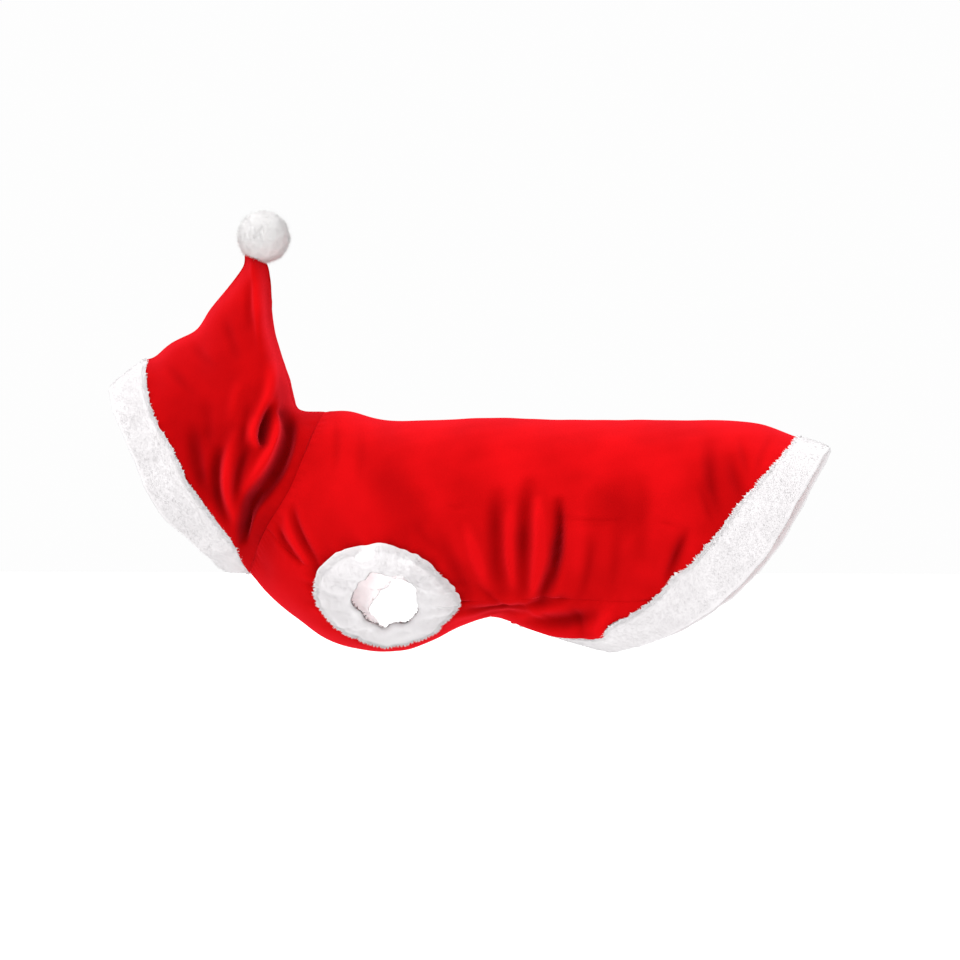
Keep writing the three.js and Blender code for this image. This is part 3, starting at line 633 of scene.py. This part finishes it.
def plush_piece(name, points, normals, shown, rims, brush, towards, count, tufts, tuft_length, seed):
    """A plush cloth on a grid that wraps, and its pile: count fine fibres, by each column's share in shown,
    and tufts longer ones, by its share in rims. Brush of the place across bends them towards a way."""
    rng = np.random.default_rng(seed)
    rows, columns = points.shape[:2]
    body, faces, _ = shell(points, points - BACKING * normals, grid_faces(rows, columns, wrap=True))
    shading = np.concatenate([normals, -normals]).reshape(-1, 3)
    base = add_piece(name + "_cloth", body, faces, PLUSH_CLOTH, name, unit(shading * EVEN))
    parts = [roots_on(points, normals, *kind, rng) for kind in ((shown, count), (rims, tufts))]
    roots, lifts, along, at = (np.concatenate(pair) for pair in zip(*parts))
    is_tuft = np.arange(len(roots)) >= count
    row = np.minimum((along * rows).astype(int), rows - 1)
    leans = random_leans(lifts, rng, 0.35) + brush(at)[:, None] * towards[row]
    lengths = PILE * rng.uniform(0.7, 1.3, len(roots)) * np.where(is_tuft, tuft_length, 1)
    widths = np.where(is_tuft, rng.uniform(0.6, 1.1, len(roots)), 0.17)
    return base, fibres(name + "_pile", roots, lifts, leans, lengths, widths, PLUSH_PILE)


def plush_band(name, seam, edge, normal, cover, count, flat, seed):
    """A strip folded over the band's edge, its section a rounded box on the line from seam to edge, that
    covers the velvet beyond the seam by an uneven amount, and pile on it."""
    width = edge - seam
    tangent = np.roll(edge + seam, -1, 0) - np.roll(edge + seam, 1, 0)
    square = unit(np.cross(tangent, width))
    square *= np.sign(np.sum(square * normal, -1, keepdims=True))
    angle = np.linspace(0.2, 2 * np.pi - 0.2, 1201)
    rounded = lambda value: np.sign(value) * np.abs(value) ** 0.8
    half = PLUSH / 2 - PILE_INSET
    section = [BAND_WIDTH * (0.5 - 0.5 * rounded(np.cos(angle))), half * rounded(np.sin(angle))]
    curve = evenly(np.stack(section, -1), 41)
    across, out = curve[:, 0] / BAND_WIDTH, curve[:, 1] - VELVET / 2
    inset = unit(width)
    cover = (cover + 0.7 * ripple(seam, 13, seed + 2))[:, None]
    start, length = seam - inset * cover, np.linalg.norm(width, axis=-1, keepdims=True) + cover - 2
    rise = normal[:, None] + np.minimum(1, 2 * across)[None, :, None] * (square - normal)[:, None]
    run = (inset * length)[:, None]
    points = start[:, None] + run * across[None, :, None] + unit(rise) * out[None, :, None]
    normals = grid_normals(points)
    outward = points - (start[:, None] + run * np.clip(across, 0.1, 0.9)[None, :, None])
    if np.sum(normals * (outward + VELVET / 2 * unit(rise))) < 0:
        normals = -normals
    lumps = 0.6 * ripple(points, 38, seed) + 0.14 * ripple(points, 12, seed + 1)
    fade = np.sin(np.pi * np.linspace(0, 1, len(across))) ** 0.3
    points = points + normals * (lumps * fade)[..., None]
    at_column = np.linspace(0, 1, points.shape[1] - 1)
    shown = np.where(at_column < 0.46, 1, np.where(at_column < 0.54, 0.15, 0.5))
    rims = (at_column < 0.05) + 0.4 * (at_column > 0.96)

    def brush(at):
        return 1.4 * (np.maximum(1 - at / 0.1, 0) + np.maximum(1 - (1 - at) / 0.1, 0))

    base, fur = plush_piece(name, points, normals, shown, rims, brush, -inset, count, count // 12, 2, seed)


def cuff(name, sign, count, seed):
    """The gathered ring: seam to mouth by across, out along the cuff's own axis, with gathers and furrows."""
    along, up, out, centre = cuff_axes(sign)
    rows = 170
    turn = np.arange(rows) * 2 * np.pi / rows
    seam = tube_point(*chest_place(sign, *egg(turn)))
    seam = seam + unit(seam - centre) * (1.2 + 0.8 * ripple(seam, 12, seed + 2))[:, None]
    mouth = centre + CUFF["mouth"] * np.cos(turn)[:, None] * along + CUFF["mouth_out"] * out
    raised = CUFF["mouth_raise"] - (CUFF["far_sag"] if sign > 0 else 0)
    mouth = mouth + (CUFF["mouth"] * np.sin(turn) + raised)[:, None] * up
    mouth = mouth + (1.6 * np.sin(5 * turn + 1) + 1.1 * np.sin(9 * turn))[:, None] * unit(mouth - seam)
    fine = along_rows(CUFF_PROFILE, np.linspace(0, len(CUFF_PROFILE) - 1, 500))
    section = evenly(fine * [CUFF_REACH, 1], 38) / [CUFF_REACH, 1]
    across, high = section[:, 0], section[:, 1]
    pucker = CUFF["gather_depth"] * np.sin(CUFF["gathers"] * turn + 1.5 * np.sin(2 * turn))
    swell = np.sin(np.pi * np.minimum(1, across + 0.15))
    points = seam[:, None] + (mouth - seam)[:, None] * across[None, :, None]
    points = points + ((high + pucker[:, None] * swell)[..., None]) * out
    normals = grid_normals(points)
    if np.sum(normals[:, 6:16] @ out) < 0:
        normals = -normals
    top = np.linspace(0, 1, len(across)) < 0.56
    depth = np.zeros(points.shape[:2])
    radius = np.linalg.norm(points - (centre + CUFF["mouth_raise"] * up), axis=-1)
    for degrees, bend, start, stop, width, deep in CUFF_FURROWS:
        middle = math.radians(degrees) + math.radians(bend) * np.sin(3 * across)[None]
        gap = np.abs((turn[:, None] - middle + np.pi) % (2 * np.pi) - np.pi) * radius
        reach = ramp((across - start) * 6) * ramp((stop + 0.12 - across) * 8)
        depth += deep * np.exp(-((gap / width) ** 2)) * reach[None] * top[None]
    depth = 0.5 * depth + 0.7 * ripple(points, 30, seed) + 0.12 * ripple(points, 11, seed + 1)
    points = points + normals * (depth - PILE_INSET * swell)[..., None]
    at_column = np.linspace(0, 1, len(across) - 1)
    shown = np.where(at_column < 0.65, 1, 0.4)
    rims = (at_column < 0.05) + 0.3 * (np.abs(at_column - 0.56) < 0.03)

    def brush(at):
        return 1.1 * np.maximum(1 - at / 0.12, 0)

    towards = unit(seam - mouth)
    base, fur = plush_piece(name, points, normals, shown, rims, brush, towards, count, count // 9, 2.6, seed)


def pompom(count, seed):
    """A ball of radius core - dimple - partings + ripple over the directions, with fibres out of it: the
    dimple is over the hood's tip and the partings are short lines on the left."""
    rng = np.random.default_rng(seed)
    centre = np.array(POMPOM["centre"], float)
    tip = unit(np.array(POMPOM["tip"]))

    def over_tip(out):
        return ramp((out @ tip - 1 + 1.6 * POMPOM["reach"]) / POMPOM["reach"])

    def shape(out):
        """Radius of the ball in each direction."""
        part = np.zeros(out.shape[:-1])
        for line_x, line_z, slope, reach in POMPOM["partings"]:
            gap = (out[..., 0] - line_x) - slope * (out[..., 2] - line_z)
            on_line = np.exp(-((gap / 0.06) ** 2)) * ramp(2 * (reach - np.abs(out[..., 2] - line_z)) / reach)
            part = np.maximum(part, on_line * (out[..., 1] < 0))
        dimpled = POMPOM["core"] - POMPOM["dimple"] * over_tip(out)
        return dimpled - 2 * part + 0.6 * ripple(23 * out, 11, seed)

    rows, columns = 96, 48
    turn = np.arange(rows)[:, None] * 2 * np.pi / rows
    tilt = np.linspace(0, np.pi, columns + 2)[None, 1:-1]
    ball = np.stack([np.sin(tilt) * np.cos(turn), np.sin(tilt) * np.sin(turn), np.cos(tilt) + 0 * turn], -1)
    body = np.vstack([ball.reshape(-1, 3), [[0, 0, 1], [0, 0, -1]]])
    quads = grid_faces(rows, columns, wrap=True)
    ring = np.arange(rows) * columns
    north = np.stack([np.full(rows, rows * columns), ring, np.roll(ring, -1)], -1)
    south = np.stack([north[:, 0] + 1, np.roll(ring, -1) + columns - 1, ring + columns - 1], -1)
    faces = np.vstack([quads[:, [0, 1, 2]], quads[:, [0, 2, 3]], north, south])
    core = centre + shape(body)[:, None] * body
    add_piece("pompom_core", core, faces, POMPOM_PILE, "pompom")
    index = np.arange(count)
    height = 1 - 2 * (index + 0.5) / count
    spin = index * np.pi * (3 - math.sqrt(5))
    level = np.sqrt(1 - height**2)
    even = np.stack([level * np.cos(spin), level * np.sin(spin), height], -1)
    out = unit(even + 0.02 * rng.normal(size=(count, 3)))
    start = shape(out)[:, None] - 0.6
    long = rng.random(count) < 0.25
    lengths = (POMPOM["radius"] - POMPOM["core"]) * rng.uniform(0.6, 1.15, count) * np.where(long, 1.5, 1)
    leans = out + 0.3 * rng.normal(size=out.shape)
    widths = np.where(long, 0.15, rng.uniform(0.15, 0.42, count))
    roots = centre + start * out
    fibres("pompom_pile", roots, out, leans, lengths, widths, POMPOM_PILE, POMPOM_EVEN)


# Materials

def new_material(name):
    material = bpy.data.materials.new(name)
    material.use_nodes = True
    nodes, links = material.node_tree.nodes, material.node_tree.links
    return material, nodes, links, nodes["Principled BSDF"]


def add_noise(nodes, links, place, scale, detail):
    noise = nodes.new("ShaderNodeTexNoise")
    noise.inputs["Scale"].default_value = scale
    noise.inputs["Detail"].default_value = detail
    links.new(place.outputs["Object"], noise.inputs["Vector"])
    return noise


def add_grain(nodes, links, shader, noise, strength):
    bump = nodes.new("ShaderNodeBump")
    bump.inputs["Strength"].default_value = strength
    bump.inputs["Distance"].default_value = 0.0006
    links.new(noise.outputs["Fac"], bump.inputs["Height"])
    links.new(bump.outputs["Normal"], shader.inputs["Normal"])


def add_ramp(nodes, links, shader, value, stops):
    """Base colour from a value, by colours at the stops."""
    ramp_node = nodes.new("ShaderNodeValToRGB")
    spare = len(stops) - len(ramp_node.color_ramp.elements)
    for _ in range(spare):
        ramp_node.color_ramp.elements.new(0.5)
    for element, (at, colour) in zip(ramp_node.color_ramp.elements, stops):
        element.position = at
        element.color = (*colour, 1)
    links.new(value, ramp_node.inputs["Fac"])
    links.new(ramp_node.outputs["Color"], shader.inputs["Base Color"])


def velvet_cloth():
    """Red velvet: painted shade darkening the creases and a painted highlight lightening the ridges, from the
    fold depth, in soft patches, with a tinted sheen.
    """
    material, nodes, links, shader = new_material("velvet")
    place = nodes.new("ShaderNodeTexCoord")
    fold_shade = nodes.new("ShaderNodeAttribute")
    fold_shade.attribute_name = "fold_shade"
    patches_and_fold_shade = nodes.new("ShaderNodeMath")
    patches_and_fold_shade.operation = "MULTIPLY_ADD"
    patches_and_fold_shade.inputs[1].default_value = 0.45
    links.new(add_noise(nodes, links, place, 17, 5).outputs["Fac"], patches_and_fold_shade.inputs[0])
    links.new(fold_shade.outputs["Fac"], patches_and_fold_shade.inputs[2])
    # Colours from painted shade in the creases up to a painted highlight on the ridges.
    stops = [
        (0.12, (0.07, 0.0002, 0.0003)), (0.45, (0.34, 0.0012, 0.0016)), (0.75, (0.51, 0.0023, 0.0028)),
        (1, (0.68, 0.0035, 0.005)),
    ]
    add_ramp(nodes, links, shader, patches_and_fold_shade.outputs["Value"], stops)
    add_grain(nodes, links, shader, add_noise(nodes, links, place, 1500, 2), 0.3)
    shader.inputs["Roughness"].default_value = 0.8
    shader.inputs["Specular IOR Level"].default_value = 0
    shader.inputs["Sheen Weight"].default_value = 1
    shader.inputs["Sheen Roughness"].default_value = 0.5
    shader.inputs["Sheen Tint"].default_value = (1, 0.03, 0.05, 1)
    return material


def plush_cloth(name, colour, backing=False):
    """White plush of an even colour, or its backing with soft patches and a nubbly grain."""
    material, nodes, links, shader = new_material(name)
    shader.inputs["Base Color"].default_value = (*colour, 1)
    if backing:
        place = nodes.new("ShaderNodeTexCoord")
        patches = add_noise(nodes, links, place, 45, 3)
        add_ramp(nodes, links, shader, patches.outputs["Fac"], [(0.35, PATCH), (0.65, colour)])
        add_grain(nodes, links, shader, add_noise(nodes, links, place, 700, 2), 0.12)
    shader.inputs["Roughness"].default_value = 1
    shader.inputs["Specular IOR Level"].default_value = 0.05
    shader.inputs["Sheen Weight"].default_value = 0.1
    return material


# Camera, light and floor

def look_from(azimuth, elevation, distance, across, up, width):
    """The photograph's view: its middle lies across and up from the origin, and it is width wide there."""
    a, e = math.radians(azimuth), math.radians(elevation)
    view = Vector((-math.sin(a) * math.cos(e), math.cos(a) * math.cos(e), -math.sin(e)))
    right = Vector((math.cos(a), math.sin(a), 0))
    data = bpy.data.cameras.new("photo_view")
    data.sensor_width = 36
    data.lens = 36 * distance / width
    data.clip_start, data.clip_end = 0.1, 100
    camera = bpy.data.objects.new("photo_view", data)
    camera.location = right * across + right.cross(view) * up - view * distance
    camera.rotation_mode = "QUATERNION"
    camera.rotation_quaternion = view.to_track_quat("-Z", "Y")
    bpy.context.scene.collection.objects.link(camera)
    bpy.context.scene.camera = camera


def add_light(name, kind, energy, place=(0, 0, 0), towards=(0, 0, -1), **settings):
    data = bpy.data.lights.new(name, kind)
    data.energy = energy
    for setting, value in settings.items():
        setattr(data, setting, value)
    light = bpy.data.objects.new(name, data)
    light.location = place
    light.rotation_mode = "QUATERNION"
    light.rotation_quaternion = Vector(towards).to_track_quat("-Z", "Y")
    bpy.context.scene.collection.objects.link(light)


def add_stage(name, points, faces, colour, glow):
    """A floor or backdrop that the camera sees, and that throws no light on the coat."""
    mesh = bpy.data.meshes.new(name)
    mesh.from_pydata(points, [], faces)
    material, _, _, shader = new_material(name)
    shader.inputs["Base Color"].default_value = (*colour, 1)
    shader.inputs["Roughness"].default_value = 1
    shader.inputs["Specular IOR Level"].default_value = 0
    shader.inputs["Emission Color"].default_value = (1, 1, 1, 1)
    shader.inputs["Emission Strength"].default_value = glow
    mesh.materials.append(material)
    thing = bpy.data.objects.new(name, mesh)
    thing.visible_diffuse = thing.visible_glossy = thing.visible_transmission = thing.visible_shadow = False
    bpy.context.scene.collection.objects.link(thing)


def studio():
    """An even white room: soft light from all round, a key from above, a little fill from low on the left
    and one inside the coat, a pale floor and a white backdrop round it."""
    scene = bpy.context.scene
    scene.view_settings.view_transform = "Standard"
    world = bpy.data.worlds.new("studio")
    world.use_nodes = True
    world.node_tree.nodes["Background"].inputs["Color"].default_value = (1, 1, 1, 1)
    world.node_tree.nodes["Background"].inputs["Strength"].default_value = 1.05
    scene.world = world
    add_light("key", "SUN", 1.85, towards=(0.3, 0.12, -0.95), angle=math.radians(40))
    add_light("fill", "SUN", 0.5, towards=(0.2, 1, 0.7), angle=math.radians(60))
    add_light("inside", "SPOT", 0.75, place=(0.045, -0.03, -0.125), towards=(-0.1, 1, -0.3),
              spot_size=math.radians(75), spot_blend=1, shadow_soft_size=0.02)
    half, low, high = 20, -0.6, 20
    ground = [(-half, -half, low), (half, -half, low), (half, half, low), (-half, half, low)]
    add_stage("floor", ground, [(0, 1, 2, 3)], (0.8, 0.8, 0.8), 0.25)
    corners = ground + [(x, y, high) for x, y, _ in ground]
    walls = [(0, 1, 5, 4), (1, 2, 6, 5), (2, 3, 7, 6), (3, 0, 4, 7), (4, 5, 6, 7)]
    add_stage("backdrop", corners, walls, (0, 0, 0), 0.985)


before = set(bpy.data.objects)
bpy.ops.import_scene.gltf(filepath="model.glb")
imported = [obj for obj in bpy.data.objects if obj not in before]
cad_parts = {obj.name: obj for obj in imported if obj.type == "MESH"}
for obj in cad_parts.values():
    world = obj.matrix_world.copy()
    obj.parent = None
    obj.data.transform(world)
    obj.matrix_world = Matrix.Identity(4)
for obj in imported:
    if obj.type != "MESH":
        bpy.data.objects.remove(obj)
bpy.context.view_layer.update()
look_from(azimuth=6, elevation=0.5, distance=6, across=0.108, up=-0.0585, width=0.864)
studio()

VELVET_CLOTH = velvet_cloth()
PLUSH_CLOTH = plush_cloth("plush", (0.86, 0.835, 0.845), True)
PLUSH_PILE = plush_cloth("plush_pile", (0.83, 0.805, 0.815))
POMPOM_PILE = plush_cloth("pompom_pile", (0.97, 0.955, 0.95))

back = body_panel("back_panel", -SEAM_AT, SEAM_AT, 2.35)
belly = body_panel("belly_panel", SEAM_AT, 2 * KEEL_AT - SEAM_AT, 2.5)
for side, sign in (("left", -1), ("right", 1)):
    hood = hood_panel("hood_" + side, sign, 2.3)
    cuff("cuff_" + side, sign, FIBRES["cuff"], 20 + sign)

turn = np.linspace(-SEAM_AT, 2 * KEEL_AT - SEAM_AT, 320, endpoint=False)
hem = np.full_like(turn, HEM)
round_hem = np.where(turn > KEEL_AT, 2 * KEEL_AT - turn, np.abs(turn))
bumps = sum(more * np.exp(-(((round_hem - at) / spread) ** 2)) for at, more, spread in HEM_COVER)
cover = HEM_REACH + bumps
plush_band("hem_band", tube_point(hem, turn), tube_point(hem + 1, turn), tube_normal(hem, turn), cover,
           FIBRES["hem"], (0.076, 0.776), 31)
share = np.linspace(0, 2, 240, endpoint=False)
up = np.where(share < 1, share, 2 - share)
left = share < 1
sides = [
    (edge_point(FACE_EDGE, up, sign), edge_point(BRIM_EDGE, up, sign), hood_frame(up, 0 * up, sign)[1])
    for sign in (-1, 1)
]
plush_band("face_band", *(np.where(left[:, None], a, b) for a, b in zip(*sides)), FACE_REACH,
           FIBRES["face"], (0.07, 0.549), 41)
pompom(FIBRES["pompom"], 51)
